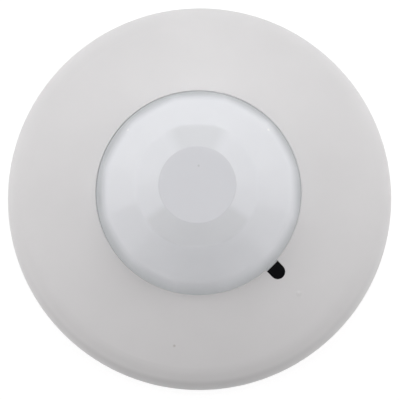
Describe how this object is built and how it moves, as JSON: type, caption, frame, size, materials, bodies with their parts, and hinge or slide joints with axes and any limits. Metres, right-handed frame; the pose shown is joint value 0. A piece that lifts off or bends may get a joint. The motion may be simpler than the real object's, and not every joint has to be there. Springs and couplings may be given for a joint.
{
  "type": "ceiling motion sensor",
  "caption": "Round ceiling motion sensor: domed twist-off cover with a faceted translucent lens and a push button, on a base that carries the circuit board, relay and screw terminals.",
  "frame": {"origin": "middle of the back face, which lies on the ceiling or box", "axes": "+Z runs out of the ceiling through the lens; +Y is the detector's top; +X is to the right seen from the lens side, with +Y up"},
  "size_m": [0.1156, 0.1156, 0.0394],
  "materials": {
    "cover": "fine moulded satin, warm white",
    "cover_inner": "plain moulded white",
    "lens": "translucent milky white, smooth outside",
    "gasket": "closed-cell foam",
    "button": "black, lightly glossy",
    "base": "moulded satin, warm white",
    "board": "green solder mask",
    "steel": "zinc plated",
    "nickel": "nickel plated, satin",
    "tinned": "tin plated",
    "gold": "thin gold plate",
    "filter": "dark infrared filter",
    "black_moulding": "black epoxy or nylon moulding",
    "lamp": "red tinted clear epoxy",
    "relay_white": "moulded, satin",
    "capacitor_can": "shrink sleeve over an aluminium can",
    "surge_blue": "dipped epoxy",
    "resistor": "glazed ceramic",
    "ceramic_tan": "bare ceramic",
    "jumper_blue": "moulded",
    "terminal_green": "moulded",
    "plunger_white": "acetal"
  },
  "bodies": {
    "base": {"base_plate": "base", "circuit_board": "board", "board_screws": "steel", "pyro_spacer": "black_moulding", "pyro_can": "nickel", "pyro_window": "filter", "pyro_leads": "tinned", "pyro_foam": "gasket", "indicator_lamp": "lamp", "lamp_leads": "tinned", "alarm_relay": "relay_white", "relay_pins": "tinned", "capacitors": "capacitor_can", "capacitor_leads": "tinned", "surge_suppressor": "surge_blue", "surge_leads": "tinned", "main_chip": "black_moulding", "amplifier_chip": "black_moulding", "chip_legs": "tinned", "voltage_regulator": "black_moulding", "chip_resistors": "resistor", "ceramic_capacitors": "ceramic_tan", "jumper_header": "black_moulding", "jumper_pins": "gold", "jumper_caps": "jumper_blue", "terminal_housing": "terminal_green", "terminal_clamps": "nickel", "terminal_screws": "steel", "terminal_pins": "tinned", "tact_switch_housing": "black_moulding", "tact_switch_plate": "nickel", "tact_switch_legs": "tinned", "tamper_switch_housing": "black_moulding", "tamper_switch_legs": "tinned", "tamper_spring": "steel"},
    "cover": {"front_cover": "cover", "lens": "lens", "lens_gasket": "gasket", "lens_ring": "cover_inner"},
    "button": {"button_cap": "button"},
    "tact_stem": {"tact_switch_stem": "black_moulding"},
    "tamper_plunger": {"tamper_plunger": "plunger_white"}
  },
  "joints": [
    {"name": "cover_twist", "type": "hinge", "parent": "base", "child": "cover", "pos_m": [0, 0, 0], "axis": [0, 0, 1], "range_deg": [0, 20]},
    {"name": "button_press", "type": "slide", "parent": "cover", "child": "button", "axis": [0, 0, -1], "range_m": [0, 0.00035], "stiffness_N_per_m": 400, "springref_m": -0.001},
    {"name": "tact_switch_press", "type": "slide", "parent": "base", "child": "tact_stem", "axis": [0, 0, -1], "range_m": [0, 0.00035]},
    {"name": "tamper_plunger_lift", "type": "slide", "parent": "base", "child": "tamper_plunger", "axis": [0, 0, 1], "range_m": [0, 0.0009], "deforming": ["tamper_spring"]}
  ],
  "couplings": [
    {"joint": "tact_switch_press", "follows": "button_press", "ratio": 1},
    {"joint": "tamper_plunger_lift", "follows": "cover_twist", "m_per_rad": 0.002578}
  ]
}
